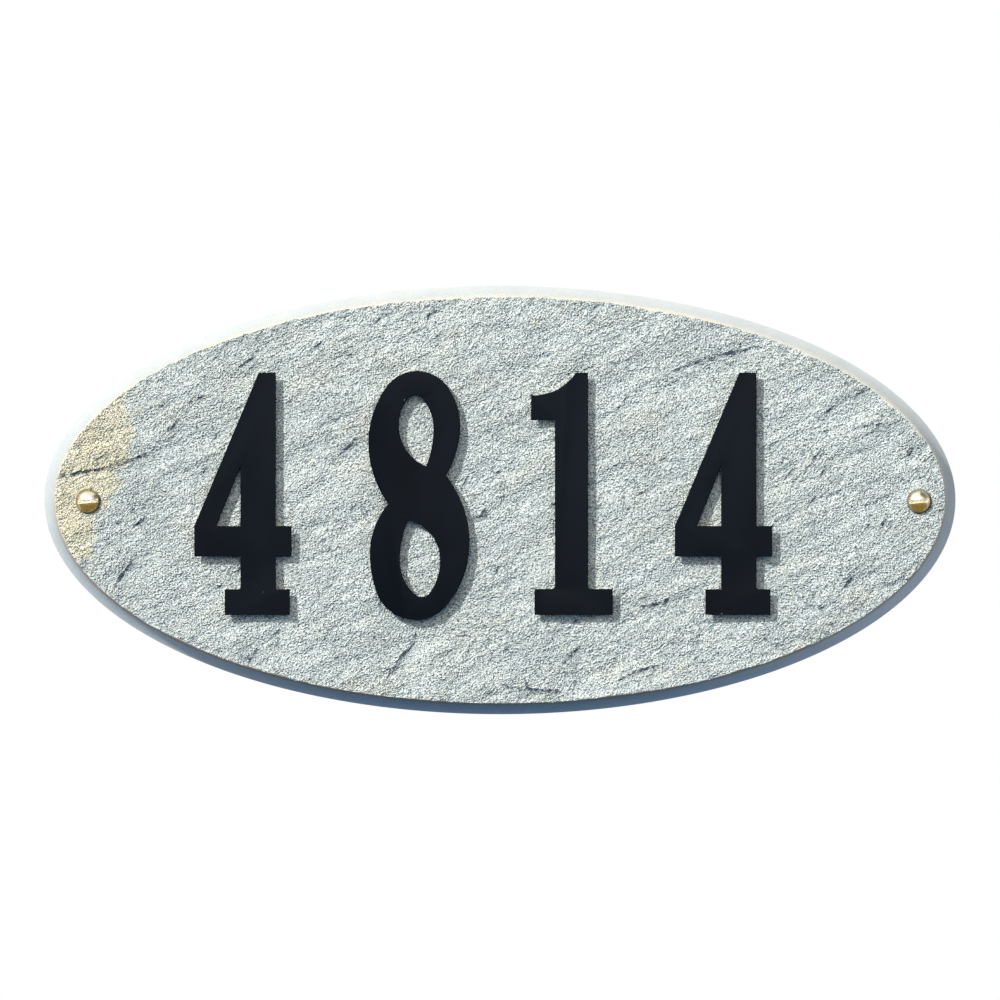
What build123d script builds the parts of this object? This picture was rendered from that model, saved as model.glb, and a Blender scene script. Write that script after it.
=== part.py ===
"""House number plaque: an oval of split stone with a moulded edge, stuck-on figures and brass screws.

Every piece is drawn lying on its back: x runs along the row of figures, y up the plaque and z out of
its face, with z = 0 on the sawn back. Each finished piece is then stood up against the wall.
"""

import os
from math import asin, ceil, cos, exp, hypot, pi, radians, sin, sqrt

from build123d import *

# Stone slab
SLAB_WIDTH = 381.0
SLAB_HEIGHT = 179.2
SLAB_THICKNESS = 16.0       # sawn back to the mean level of the split face
BACK_ARRIS = 0.6

# Oval outline: eight tangent arcs, with radii as shares of those of an ellipse of the same size
END_ROUND = 1.12
SHOULDER_ROUND = 1.11
SIDE_ROUND = 0.92

# Moulded edge, from the outside inwards, with slopes in degrees from the plane of the face
EDGE_ARRIS = 0.4
COVE_RADIUS = 31.0
COVE_OUTER_SLOPE = 58.0
COVE_INNER_SLOPE = 78.0
LIP_RADIUS = 2.0
LIP_CROWN = 0.2             # the lip's full round would end this far above the split face

# Split face: ridges that run up to the right, each with its spacing, heading in degrees, share of the
# relief, shift along its wave in degrees, and wander to either side
RELIEF = 0.45               # highest ridge above the mean level
RELIEF_AT_EDGE = 0.3        # share of the relief that is left at the moulded edge
RELIEF_FADE = 10            # how suddenly the relief calms towards the edge
RIDGES = (
    (63.0, 36.0, 0.30, 20.0, 6.0),
    (45.0, 27.0, 0.26, 130.0, 5.0),
    (53.0, 64.0, 0.18, 230.0, 7.0),
    (38.0, 40.0, 0.16, 70.0, 4.0),
    (81.0, 6.0, 0.10, 300.0, 9.0),
)
WANDER_SPACING = 130.0
FACE_STEP = 8.0             # spacing of the points that carry the split face
FACE_TOLERANCE = 0.02

# Screws and their holes
SCREW_INSET = 17.1          # end of the slab to the screw's axis
SCREW_SHIFT = (1.5, -0.5)   # how far the pair of holes sits off the slab's centre
HOLE_DIAMETER = 6.5
SEAT_DEPTH = 0.2            # flat seat below the mean level of the face
SEAT_CLEARANCE = 0.15       # seat wider than the head, all round
SEAT_CALM = 14.0            # reach of the quieter stone round a seat
HEAD_DIAMETER = 10.4
HEAD_HEIGHT = 3.7
HEAD_RIM = 0.4
SLOT_WIDTH = 1.5
SLOT_DEPTH = 1.9
SLOT_TURN = 5.0             # degrees above level
SHANK_DIAMETER = 4.8
SCREW_LENGTH = 38.0         # under the head
THREAD_DIAMETER = 5.5
THREAD_START = 1.0          # behind the slab's back
POINT_LENGTH = 5.0

# Figures and the pads behind them
FIGURE_HEIGHT = 101.0
FIGURE_MIDDLE = 2.6         # middle of the figures above the slab's centre
FIGURE_THICKNESS = 0.8
FIGURE_STANDOFF = 3.3       # back of the figures above the mean level of the face
FIGURE_BEVEL = 0.2
PAD_INSET = 2.0
GLUE_FILM = 0.15            # between the pads and the stone
FOUR_LEFT_X = -127.5        # left end of each figure from the slab's centre
EIGHT_X = -54.9
ONE_X = 12.9
FOUR_RIGHT_X = 72.9

# Shape of the figures, as shares of their height
FOUR_WIDTH = 0.402
FOUR_STEM = (0.191, 0.337)
FOUR_FOOT = (0.126, 0.395)
FOUR_FOOT_HEIGHT = 0.106
FOUR_ARM = (0.241, 0.367)
FOUR_APEX = 0.266
FOUR_COUNTER = (0.092, 0.613)
ONE_STEM = (0.099, 0.236)
ONE_FOOT = (0.015, 0.338)
ONE_FOOT_HEIGHT = 0.107
ONE_EASE = 0.014            # round where the stem meets the foot
ONE_FLAG = (0.804, 0.907)
ONE_FLAG_SWEEP = (0.109, 0.931)
ONE_TOP = 0.185
EIGHT_TOP = (0.201, 1.007)
EIGHT_BOTTOM = (0.194, -0.021)
EIGHT_TOP_RADIUS = 0.155
EIGHT_BOTTOM_RADIUS = 0.170
EIGHT_UPPER_LEFT = (0.000, 0.711)
EIGHT_UPPER_RIGHT = (0.379, 0.780)
EIGHT_LOWER_LEFT = (0.006, 0.252)
EIGHT_LOWER_RIGHT = (0.418, 0.294)
EIGHT_RIGHT_NOTCH = (0.321, 0.576)
EIGHT_LEFT_NOTCH = (0.082, 0.459)
UPPER_EYE_TOP = (0.193, 0.907)
UPPER_EYE_LEFT = (0.126, 0.781)
UPPER_EYE_RIGHT = (0.269, 0.771)
UPPER_EYE_TIP = (0.239, 0.614)
UPPER_EYE_RADIUS = 0.039
LOWER_EYE_TIP = (0.163, 0.392)
LOWER_EYE_LEFT = (0.130, 0.225)
LOWER_EYE_RIGHT = (0.296, 0.225)
LOWER_EYE_BOTTOM = (0.220, 0.074)
LOWER_EYE_RADIUS = 0.043

half_width = SLAB_WIDTH / 2
half_height = SLAB_HEIGHT / 2
seat_level = SLAB_THICKNESS - SEAT_DEPTH
figure_back = SLAB_THICKNESS + FIGURE_STANDOFF
above_all = figure_back + FIGURE_THICKNESS
screw_axes = [
    (SCREW_SHIFT[0] + side * (half_width - SCREW_INSET), SCREW_SHIFT[1])
    for side in (-1, 1)
]


def oval():
    """The slab's outline: round ends and flat sides, joined by four shoulder arcs that touch both."""
    end_radius = END_ROUND * half_height ** 2 / half_width
    shoulder_radius = SHOULDER_ROUND * sqrt(half_width * half_height)
    side_radius = SIDE_ROUND * half_width ** 2 / half_height
    end_centre = Vector(half_width - end_radius, 0)
    side_centre = Vector(0, half_height - side_radius)
    end_to_side = side_centre - end_centre
    end_reach = shoulder_radius - end_radius
    side_reach = side_radius - shoulder_radius
    along = (end_reach ** 2 - side_reach ** 2 + end_to_side.length ** 2) / (2 * end_to_side.length)
    across = sqrt(end_reach ** 2 - along ** 2)
    heading = end_to_side.normalized()
    shoulder_centre = end_centre + heading * along + Vector(heading.Y, -heading.X) * across
    at_end = shoulder_centre + (end_centre - shoulder_centre).normalized() * shoulder_radius
    at_side = side_centre + (shoulder_centre - side_centre).normalized() * side_radius
    half_way = ((at_end + at_side) / 2 - shoulder_centre).normalized()
    at_shoulder = shoulder_centre + half_way * shoulder_radius
    end_x, end_y = at_end.X, at_end.Y
    side_x, side_y = at_side.X, at_side.Y
    arcs = []
    for sign in (1, -1):
        edge_x, end_at = sign * half_width, sign * end_x
        edge_y, side_at = sign * half_height, sign * side_y
        arcs.append(ThreePointArc((end_at, -end_y), (edge_x, 0), (end_at, end_y)))
        arcs.append(ThreePointArc((-side_x, side_at), (0, edge_y), (side_x, side_at)))
        for up in (1, -1):
            arcs.append(ThreePointArc(*[(sign * p.X, up * p.Y) for p in (at_end, at_shoulder, at_side)]))
    return Wire(arcs)


def relief(x, y):
    """Height of the split face above its mean level."""
    wave = 0
    for spacing, heading, share, shift, wander in RIDGES:
        turn = radians(heading)
        along = x * cos(turn) + y * sin(turn)
        across = y * cos(turn) - x * sin(turn)
        across += wander * sin(2 * pi * along / WANDER_SPACING + radians(shift))
        wave += share * sin(2 * pi * across / spacing + radians(shift))
    outwards = min(1, hypot(x / half_width, y / half_height))
    fade = 1 - (1 - RELIEF_AT_EDGE) * outwards ** RELIEF_FADE
    to_seat = min(hypot(x - axis_x, y - axis_y) for axis_x, axis_y in screw_axes)
    calm = 1 - exp(-((to_seat / SEAT_CALM) ** 2))
    return RELIEF * wave * fade * calm


def in_front_of_face():
    """Everything in front of the split face: what is split off the stone, and where the pads begin."""
    columns = ceil(half_width / FACE_STEP) + 1
    rows = ceil(half_height / FACE_STEP) + 1
    points = [
        [
            Vector(i * FACE_STEP, j * FACE_STEP, SLAB_THICKNESS + relief(i * FACE_STEP, j * FACE_STEP))
            for j in range(-rows, rows + 1)
        ]
        for i in range(-columns, columns + 1)
    ]
    face = Face.make_surface_from_array_of_points(points, tol=FACE_TOLERANCE)
    return extrude(face, amount=above_all, dir=(0, 0, 1))


def moulding_cutter():
    """What a shaped wheel takes off round the oval: the cove below and the round of the lip above it."""
    outer = radians(COVE_OUTER_SLOPE)
    inner = radians(COVE_INNER_SLOPE)
    lip_top = SLAB_THICKNESS + RELIEF_AT_EDGE * RELIEF + LIP_CROWN
    lip_foot = lip_top - LIP_RADIUS * (1 - cos(inner))
    cove_foot = lip_foot - COVE_RADIUS * (cos(outer) - cos(inner))
    cove_x = half_width - EDGE_ARRIS
    cove_centre = (cove_x + COVE_RADIUS * sin(outer), cove_foot + COVE_RADIUS * cos(outer))
    lip_x = cove_centre[0] - COVE_RADIUS * sin(inner)
    lip_centre = (lip_x - LIP_RADIUS * sin(inner), lip_top - LIP_RADIUS)
    overhang = SLAB_THICKNESS

    def on_cove(slope):
        return (cove_centre[0] - COVE_RADIUS * sin(slope), cove_centre[1] - COVE_RADIUS * cos(slope))

    def on_lip(slope):
        return (lip_centre[0] + LIP_RADIUS * sin(slope), lip_centre[1] + LIP_RADIUS * cos(slope))

    cove = ThreePointArc(on_cove(outer), on_cove((outer + inner) / 2), on_cove(inner))
    lip = ThreePointArc(on_lip(inner), on_lip(inner / 2), on_lip(0))
    outside = Polyline(
        on_lip(0),
        (lip_centre[0], above_all + overhang),
        (half_width + overhang, above_all + overhang),
        (half_width + overhang, cove_foot - EDGE_ARRIS - overhang),
        on_cove(outer),
    )
    section = Plane.XZ * make_face([cove, lip, outside])
    return sweep(section, path=oval())


def stone_slab(split_away):
    """The oval slab with its moulded edge, split face, screw holes and flat seats for the screw heads."""
    slab = extrude(make_face(oval()), amount=above_all)
    slab = chamfer(slab.faces().sort_by(Axis.Z)[0].edges(), BACK_ARRIS)
    slab -= moulding_cutter()
    slab -= split_away
    seat_radius = HEAD_DIAMETER / 2 + SEAT_CLEARANCE
    up_from_base = (Align.CENTER, Align.CENTER, Align.MIN)
    for axis in screw_axes:
        slab -= Pos(*axis) * Cylinder(HOLE_DIAMETER / 2, above_all, align=up_from_base)
        slab -= Pos(*axis, seat_level) * Cylinder(seat_radius, above_all, align=up_from_base)
    return slab


def screw(axis):
    """A slotted round-head wood screw, driven home: the thread is shown as its outer cylinder."""
    head_radius = HEAD_DIAMETER / 2
    top = seat_level + HEAD_HEIGHT
    dome_rise = HEAD_HEIGHT - HEAD_RIM
    dome_radius = (head_radius ** 2 + dome_rise ** 2) / (2 * dome_rise)
    half_way = asin(head_radius / dome_radius) / 2
    dome = ThreePointArc(
        (0, top),
        (dome_radius * sin(half_way), top - dome_radius * (1 - cos(half_way))),
        (head_radius, seat_level + HEAD_RIM),
    )
    tip = seat_level - SCREW_LENGTH
    outline = Polyline(
        (head_radius, seat_level + HEAD_RIM),
        (head_radius, seat_level),
        (SHANK_DIAMETER / 2, seat_level),
        (SHANK_DIAMETER / 2, -THREAD_START),
        (THREAD_DIAMETER / 2, -THREAD_START),
        (THREAD_DIAMETER / 2, tip + POINT_LENGTH),
        (0, tip),
        (0, top),
    )
    body = revolve(Plane.XZ * make_face([dome, outline]), axis=Axis.Z)
    slot = Pos(0, 0, top - SLOT_DEPTH) * Box(
        2 * HEAD_DIAMETER, SLOT_WIDTH, 2 * SLOT_DEPTH, align=(Align.CENTER, Align.CENTER, Align.MIN)
    )
    return Pos(*axis) * (body - Rot(0, 0, SLOT_TURN) * slot)


def drawn(*points):
    """Points given as shares of the figure height, from the foot line, at real size about the middle."""
    return [(x * FIGURE_HEIGHT, (y - 1 / 2) * FIGURE_HEIGHT) for x, y in points]


def four():
    """The figure four: slanted stroke, cross arm, stem and slab foot round a three-cornered counter."""
    stem_left, stem_right = FOUR_STEM
    foot_left, foot_right = FOUR_FOOT
    arm_bottom, arm_top = FOUR_ARM
    counter_left, counter_top = FOUR_COUNTER
    outline = drawn(
        (0, arm_bottom),
        (stem_left, arm_bottom),
        (stem_left, FOUR_FOOT_HEIGHT),
        (foot_left, FOUR_FOOT_HEIGHT),
        (foot_left, 0),
        (foot_right, 0),
        (foot_right, FOUR_FOOT_HEIGHT),
        (stem_right, FOUR_FOOT_HEIGHT),
        (stem_right, arm_bottom),
        (FOUR_WIDTH, arm_bottom),
        (FOUR_WIDTH, arm_top),
        (stem_right, arm_top),
        (stem_right, 1),
        (FOUR_APEX, 1),
        (0, arm_top),
    )
    counter = drawn((counter_left, arm_top), (stem_left, arm_top), (stem_left, counter_top))
    return make_face(Polyline(*outline, close=True)) - make_face(Polyline(*counter, close=True))


def one():
    """The figure one: a flag with a hollow sweep on top, and a stem that is eased into a slab foot."""
    stem_left, stem_right = ONE_STEM
    foot_left, foot_right = ONE_FOOT
    flag_bottom, flag_tip = ONE_FLAG
    ease_top = ONE_FOOT_HEIGHT + ONE_EASE
    ease_radius = ONE_EASE * FIGURE_HEIGHT
    flag_sweep = drawn((0, flag_tip), ONE_FLAG_SWEEP, (ONE_TOP, 1))
    left_side = drawn((0, flag_tip), (0, flag_bottom), (stem_left, flag_bottom), (stem_left, ease_top))
    foot = drawn(
        (stem_left - ONE_EASE, ONE_FOOT_HEIGHT),
        (foot_left, ONE_FOOT_HEIGHT),
        (foot_left, 0),
        (foot_right, 0),
        (foot_right, ONE_FOOT_HEIGHT),
        (stem_right + ONE_EASE, ONE_FOOT_HEIGHT),
    )
    right_side = drawn((stem_right, ease_top), (stem_right, 1), (ONE_TOP, 1))
    return make_face([
        ThreePointArc(*flag_sweep),
        Polyline(*left_side),
        RadiusArc(left_side[-1], foot[0], ease_radius),
        Polyline(*foot),
        RadiusArc(foot[-1], right_side[0], ease_radius),
        Polyline(*right_side),
    ])


def crowned_loop(start, first_side, crown, second_side, end, crown_radius):
    """Five arcs from start to end: upright at the widest point of each side and level at the crown."""
    start, first_side, crown, second_side, end = drawn(start, first_side, crown, second_side, end)
    crown_radius *= FIGURE_HEIGHT
    facing = 1 if crown[1] > first_side[1] else -1
    centre = Vector(crown[0], crown[1] - facing * crown_radius)

    def meeting(side):
        reach = abs(side[0] - crown[0])
        rise = abs(side[1] - centre.Y)
        radius = (reach ** 2 + rise ** 2 - crown_radius ** 2) / (2 * (reach - crown_radius))
        outwards = 1 if side[0] > crown[0] else -1
        side_centre = Vector(side[0] - outwards * radius, side[1])
        return side_centre + (centre - side_centre).normalized() * radius

    arcs = [ThreePointArc(meeting(first_side), crown, meeting(second_side))]
    for side, foot in ((first_side, start), (second_side, end)):
        arcs.append(TangentArc(side, meeting(side), tangent=(0, facing)))
        arcs.append(TangentArc(side, foot, tangent=(0, -facing)))
    return arcs


def eight():
    """The figure eight: two lobes that meet at a notch on each side, with an eye in each lobe."""
    upper_lobe = crowned_loop(
        EIGHT_RIGHT_NOTCH,
        EIGHT_UPPER_RIGHT,
        EIGHT_TOP,
        EIGHT_UPPER_LEFT,
        EIGHT_LEFT_NOTCH,
        EIGHT_TOP_RADIUS,
    )
    lower_lobe = crowned_loop(
        EIGHT_LEFT_NOTCH,
        EIGHT_LOWER_LEFT,
        EIGHT_BOTTOM,
        EIGHT_LOWER_RIGHT,
        EIGHT_RIGHT_NOTCH,
        EIGHT_BOTTOM_RADIUS,
    )
    upper_eye = crowned_loop(
        UPPER_EYE_TIP, UPPER_EYE_RIGHT, UPPER_EYE_TOP, UPPER_EYE_LEFT, UPPER_EYE_TIP, UPPER_EYE_RADIUS
    )
    lower_eye = crowned_loop(
        LOWER_EYE_TIP, LOWER_EYE_LEFT, LOWER_EYE_BOTTOM, LOWER_EYE_RIGHT, LOWER_EYE_TIP, LOWER_EYE_RADIUS
    )
    return make_face(upper_lobe + lower_lobe) - make_face(upper_eye) - make_face(lower_eye)


def figure(outline):
    """A figure cut from sheet along its outline, with bevelled front edges."""
    solid = extrude(outline, amount=FIGURE_THICKNESS)
    return chamfer(solid.faces().sort_by(Axis.Z)[-1].edges(), FIGURE_BEVEL)


def pad(outline, front_space):
    """The adhesive foam behind a figure, smaller than its outline and pressed into the split face."""
    cut_out = offset(outline, amount=-PAD_INSET, kind=Kind.INTERSECTION)
    foam = extrude(cut_out, amount=FIGURE_STANDOFF + 2 * RELIEF, dir=(0, 0, -1))
    return foam & Pos(0, 0, GLUE_FILM) * front_space


def stand_up(shape):
    """Turns a piece from lying on its back to standing against the wall, face to -Y."""
    return Plane.XZ * shape


front_space = in_front_of_face()
pieces = {"stone_slab": stone_slab(front_space)}
for name, drawing, left in (
    ("four_left", four(), FOUR_LEFT_X),
    ("eight", eight(), EIGHT_X),
    ("one", one(), ONE_X),
    ("four_right", four(), FOUR_RIGHT_X),
):
    outline = Pos(left, FIGURE_MIDDLE, figure_back) * drawing
    pieces["digit_" + name] = figure(outline)
    pieces["pad_" + name] = pad(outline, front_space)
pieces["brass_screws"] = Compound([screw(axis) for axis in screw_axes])

os.makedirs("parts", exist_ok=True)
for name, piece in pieces.items():
    export_step(stand_up(piece), f"parts/{name}.step")
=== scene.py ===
"""A house number plaque of split stone: the looks of every piece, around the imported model, in metres."""

from math import cos, pi, radians, sin, sqrt

import bmesh
import bpy
import numpy as np
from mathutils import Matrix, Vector, noise


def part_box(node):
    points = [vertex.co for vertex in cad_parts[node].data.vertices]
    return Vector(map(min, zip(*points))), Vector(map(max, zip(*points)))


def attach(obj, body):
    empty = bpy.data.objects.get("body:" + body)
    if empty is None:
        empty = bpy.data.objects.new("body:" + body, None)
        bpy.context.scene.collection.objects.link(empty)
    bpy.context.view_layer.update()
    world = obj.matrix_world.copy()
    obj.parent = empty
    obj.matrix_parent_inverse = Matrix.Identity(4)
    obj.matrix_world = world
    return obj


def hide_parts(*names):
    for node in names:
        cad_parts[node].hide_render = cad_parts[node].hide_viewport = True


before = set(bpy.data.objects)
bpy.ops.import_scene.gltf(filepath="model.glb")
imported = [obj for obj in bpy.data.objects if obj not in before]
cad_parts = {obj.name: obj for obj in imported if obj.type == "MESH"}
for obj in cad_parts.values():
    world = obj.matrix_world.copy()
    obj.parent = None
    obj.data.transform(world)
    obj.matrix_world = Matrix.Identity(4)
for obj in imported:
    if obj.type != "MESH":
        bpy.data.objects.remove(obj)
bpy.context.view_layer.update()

MM = 0.001

# Slab: the oval, its mean face level, the section of its moulded edge and the mesh of its face
slab_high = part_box("stone_slab")[1]
HALF_WIDTH = slab_high.x
HALF_HEIGHT = slab_high.z
FACE_LEVEL = 16.0 * MM
BACK_ARRIS = 0.6 * MM
EDGE_ARRIS = 0.4 * MM
COVE_RADIUS = 16.9 * MM
COVE_SLOPES = (50.0, 56.0, 62.0, 68.0, 74.0, 80.0, 86.0)
LIP_RADIUS = 2.0 * MM
LIP_SLOPES = (75.0, 62.0, 50.0, 38.0, 26.0, 14.0, 0.0)
LIP_TOP = FACE_LEVEL + 0.335 * MM
LIP_INSET = 5.2 * MM
FACE_INSET = 7.0 * MM
FACE_INSET_POWER = 8
FACE_CELLS = (400, 188)
ABOVE_ALL = 1.0

# Split face: the broad ridges of the solid, as spacing, heading, share, shift and wander
RELIEF = 0.45 * MM
RELIEF_AT_EDGE = 0.3
RELIEF_FADE = 10
RIDGES = (
    (63.0 * MM, 36.0, 0.30, 20.0, 6.0 * MM),
    (45.0 * MM, 27.0, 0.26, 130.0, 5.0 * MM),
    (53.0 * MM, 64.0, 0.18, 230.0, 7.0 * MM),
    (38.0 * MM, 40.0, 0.16, 70.0, 4.0 * MM),
    (81.0 * MM, 6.0, 0.10, 300.0, 9.0 * MM),
)
WANDER_SPACING = 130.0 * MM
SEAT_LEVEL = FACE_LEVEL - 0.2 * MM
SEAT_CALM = 14.0 * MM

# Grain of the split face, which runs up to the right, with the height of each of its layers
GRAIN_HEADING = radians(25.0)
GRAIN_WANDER = 3.0 * MM
BAND_HEIGHT = 0.34 * MM
RIDGE_HEIGHT = 0.42 * MM
RIDGE_STEPS = 3
CRUMB_HEIGHT = 0.20 * MM
GRAIN_SINK = 0.16 * MM
ZONE_MEAN = 0.75
ZONE_SWING = 0.55

# Noise of the stone: the size of its features in two directions, and a seed
WANDER_PATTERN = (45 * MM, 45 * MM, 3.5)
BAND_PATTERN = (26 * MM, 8 * MM, 11.0)
RIDGE_PATTERN = (6.5 * MM, 3.6 * MM, 23.0)
CRUMB_PATTERN = (2.6 * MM, 2.0 * MM, 37.0)
ZONE_PATTERN = (30 * MM, 12 * MM, 5.0)
RAGGED_PATTERN = (2.6 * MM, 2.6 * MM, 51.0)
STAIN_PATTERN = (9 * MM, 5 * MM, 71.0)
CHIP_PATTERN = (3.2 * MM, 3.2 * MM, 91.0)

# Lip: its chips, and painted shade on it, as a share at mid height and a rise towards the bottom
LIP_CHIP = 0.9 * MM
LIP_CHIP_WIDTH = 3.0 * MM
LIP_CHIP_START = 0.1
LIP_SHADE_START = 0.35
LIP_SHADE_RISE = 1.4

# Clefts, as points in the photograph and a depth: the stone drops to their lower right and rises again
CLEFTS = (
    (((58, 477), (84, 472), (106, 468), (122, 463)), 0.77 * MM),
    (((118, 466), (140, 457), (167, 446)), 0.49 * MM),
    (((168, 432), (181, 418)), 0.49 * MM),
    (((112, 592), (122, 576), (134, 560)), 0.70 * MM),
    (((387, 678), (403, 655), (420, 636)), 0.70 * MM),
    (((340, 455), (350, 446), (359, 437)), 0.63 * MM),
    (((564, 663), (574, 652), (583, 642)), 0.70 * MM),
    (((618, 680), (637, 671), (656, 665)), 0.56 * MM),
    (((640, 607), (662, 603), (678, 593)), 0.56 * MM),
    (((670, 373), (690, 364), (715, 356), (758, 347)), 0.49 * MM),
    (((310, 352), (322, 342)), 0.56 * MM),
    (((820, 476), (827, 464)), 0.63 * MM),
    (((907, 456), (913, 448)), 0.63 * MM),
    (((856, 428), (878, 424), (898, 422)), 0.35 * MM),
    (((843, 588), (854, 576)), 0.56 * MM),
    (((869, 586), (890, 583), (909, 578)), 0.56 * MM),
    (((851, 603), (860, 597)), 0.56 * MM),
    (((505, 686), (540, 690), (562, 692)), 0.49 * MM),
    (((190, 402), (205, 396)), 0.49 * MM),
    (((900, 385), (908, 378)), 0.49 * MM),
)
CLEFT_LIP = 0.9 * MM
CLEFT_REACH = 9.0 * MM
CLEFT_RAGGED = 0.8 * MM
CLEFT_FAR = 20.0 * MM
CLEFT_FULL = 0.50 * MM
CLEFT_ENDS = (0.02, 0.98)

# Short nicks scattered over the face, deeper where the bands of the grain run low
NICKS = 420
NICK_SEED = 4814
NICK_DEPTH = 0.30 * MM
NICK_DEPTH_SPREAD = (0.6, 1.1)
NICK_BAND_MEAN = 0.45
NICK_BAND_FALL = 1.6
NICK_BAND_LIMITS = (0.1, 1.3)
NICK_REACH = 3.0 * MM
NICK_LENGTH = (2.5 * MM, 9.0 * MM)
NICK_HEADING = radians(38.0)
NICK_HEADING_SPREAD = 0.35

# Tan stain at the left end: its right-hand border down the photograph, and how soft that border is
STAIN_BORDER = ((383, 141), (400, 131), (436, 132), (459, 130), (470, 119), (492, 118),
                (500, 105), (520, 97), (545, 93), (562, 90), (570, 78))
STAIN_SOFT = 7.0 * MM
STAIN_RAGGED = 5.0 * MM

# Meshes: the softness of the figures' edges, and the limits by which points and faces are told apart
FIGURE_EDGE = 0.08 * MM
EDGE_SEGMENTS = 2
MERGE = 0.001 * MM
SAME_FACE = radians(0.5)
SHARP_EDGE = radians(30.0)
SMOOTH_BELOW = radians(35.0)
STONE_SMOOTH_BELOW = radians(40.0)

# Screws: domed slotted heads, shanks, and threads that stand out behind the slab
HEAD_RADIUS = 5.2 * MM
HEAD_HEIGHT = 3.7 * MM
HEAD_RIM = 0.4 * MM
HEAD_CELLS = (72, 60)
SLOT_WIDTH = 1.5 * MM
SLOT_DEPTH = 1.9 * MM
SLOT_TURN = radians(5.0)
SLOT_EDGE = 0.12 * MM
SHANK_RADIUS = 2.4 * MM
THREAD_START = 1.0 * MM
THREAD_RADIUS = 2.75 * MM
THREAD_ROOT = 1.9 * MM
THREAD_PITCH = 2.1 * MM
THREAD_TOOTH = (            # radius, and share of the pitch
    (THREAD_ROOT, 0),
    (THREAD_RADIUS, 0.32),
    (THREAD_RADIUS, 0.40),
    (THREAD_ROOT, 0.62),
    (THREAD_ROOT, 1),
)
THREAD_LEAD_IN = 2          # turns before the start and past the tip, which are trimmed off
THREAD_STEPS = 36
# painted shade on the thread, darkest at its roots, as shares of the rim's painted shade
THREAD_SHADE = (0.92, 0.76)
screws_low, screws_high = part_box("brass_screws")
SCREW_TIP = screws_high.y
SCREW_AXES = [
    (screws_low.x + HEAD_RADIUS, (screws_low.z + screws_high.z) / 2),
    (screws_high.x - HEAD_RADIUS, (screws_low.z + screws_high.z) / 2),
]
HOLE_RADIUS = 3.25 * MM
HOLE_SIDES = 48
SEAT_RADIUS = 6.0 * MM
POINT_LENGTH = 5.0 * MM
POINT_BLUNT = 0.03

# Colours of the split face, painted shade and highlight among them
STONE_SHADES = ((0.69, 0.76, 0.725), (0.78, 0.835, 0.77))
DRIFT_COLOUR = (0.85, 0.815, 0.69)
# pale grains, partly painted highlight on the crumbs' raised tops
PALE_GRAIN_AND_HIGHLIGHT_COLOUR = (0.95, 0.965, 0.925)
# dark grains, partly painted shade in the pits between crumbs
DARK_GRAIN_AND_SHADE_COLOUR = (0.19, 0.26, 0.28)
# painted shade in the low parts of the scales
PIT_SHADE_COLOUR = (0.14, 0.18, 0.20)
# painted shade in the low places of the split face
RECESS_SHADE_COLOUR = (0.46, 0.545, 0.55)
STAIN_FACTOR = (1.19, 1.04, 0.82)
# painted shade along the clefts
CLEFT_SHADE_COLOUR = (0.075, 0.10, 0.14)

# Colours of the honed edge and the sawn back
HONED_SHADES = ((0.53, 0.568, 0.572), (0.585, 0.615, 0.61))
FLECK_COLOUR = (0.42, 0.46, 0.48)
LIP_COLOUR = (0.76, 0.68, 0.52)
# painted shade: brown under the lip on the lower side of the oval
LIP_SHADE_COLOUR = (0.34, 0.28, 0.22)
STREAK_COLOUR = (0.68, 0.69, 0.66)
SPECKLE_COLOUR = (0.36, 0.39, 0.40)

# Colours of the figures, the foam, the brass and the floor
BLACK_SHADES = ((0.0012, 0.0028, 0.0056), (0.0032, 0.0062, 0.0105))
DUST_COLOUR = (0.16, 0.19, 0.21)
FOAM_SHADES = ((0.035, 0.036, 0.038), (0.060, 0.061, 0.064))
BRASS_SHADES = ((0.91, 0.83, 0.62), (0.60, 0.47, 0.22))
# painted shade and dark reflection on the screw heads' rims, most at the lower right, and on the threads
RIM_SHADE_COLOUR = (0.05, 0.035, 0.015)
FLOOR_SHADES = ((0.80, 0.80, 0.80), (0.84, 0.84, 0.84))

# Steps of the flakes and scales in the stone's material
FLAKE_STEPS = 4.0
SCALE_STEPS = 5.0

# Photograph: its width in pixels, the oval's middle in it and the size of a pixel on the plaque
PHOTO_WIDTH = 1000
PHOTO_MIDDLE = (499.8, 499.6)
PIXEL = 0.41795 * MM

# Camera, floor, and the two cards that the screws mirror
CAMERA_DISTANCE = 5.0
CAMERA_CLIP = 100.0
FLOOR_LEVEL = -0.30
FLOOR_RADIUS = 2.0
FLOOR_SIDES = 96
LOW_CARD = {
    "place": (0, -1.5, -0.20),
    "turn": 0.0,
    "size": (4.0, 3.0, 1.0),
    "colour": (0.16, 0.105, 0.006),
}
SIDE_CARD = {
    "place": (0.42, -0.22, 0.30),
    "turn": 40.0,
    "size": (0.46, 0.40, 1.0),
    "colour": (0.95, 0.80, 0.55),
}

# Light: the surroundings' fill, three suns and two small lamps, with the way that their light travels
LIGHT_TRAVEL = (0.534, 0.656, -0.534)
SUN_STRENGTH = 3.35
SUN_SIZE = radians(4.0)
FILL_AXIS = (-0.30, 0.0, 0.95)
FILL_LOW = (0.0, 0.08, 0.21)
FILL_HIGH = (0.55, 0.53, 0.47)
FILL_BORDER = 0.25
FRONT_TRAVEL = (0, 0.95, -0.31)
FRONT_STRENGTH = 0.78
FRONT_SIZE = radians(40.0)
BACK_TRAVEL = (-0.25, -0.85, -0.45)
BACK_STRENGTH = 1.2
BACK_SIZE = radians(30.0)
RIGHT_KICKER = {
    "place": (0.27, 0.03, -0.145),
    "travel": (-0.85, -0.25, 0.45),
    "power": 0.075,
}
LEFT_KICKER = {
    "place": (-0.26, -0.012, -0.13),
    "travel": (0.60, 0.0, 0.80),
    "power": 0.030,
}
KICKER_SIZE = 0.06


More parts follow.
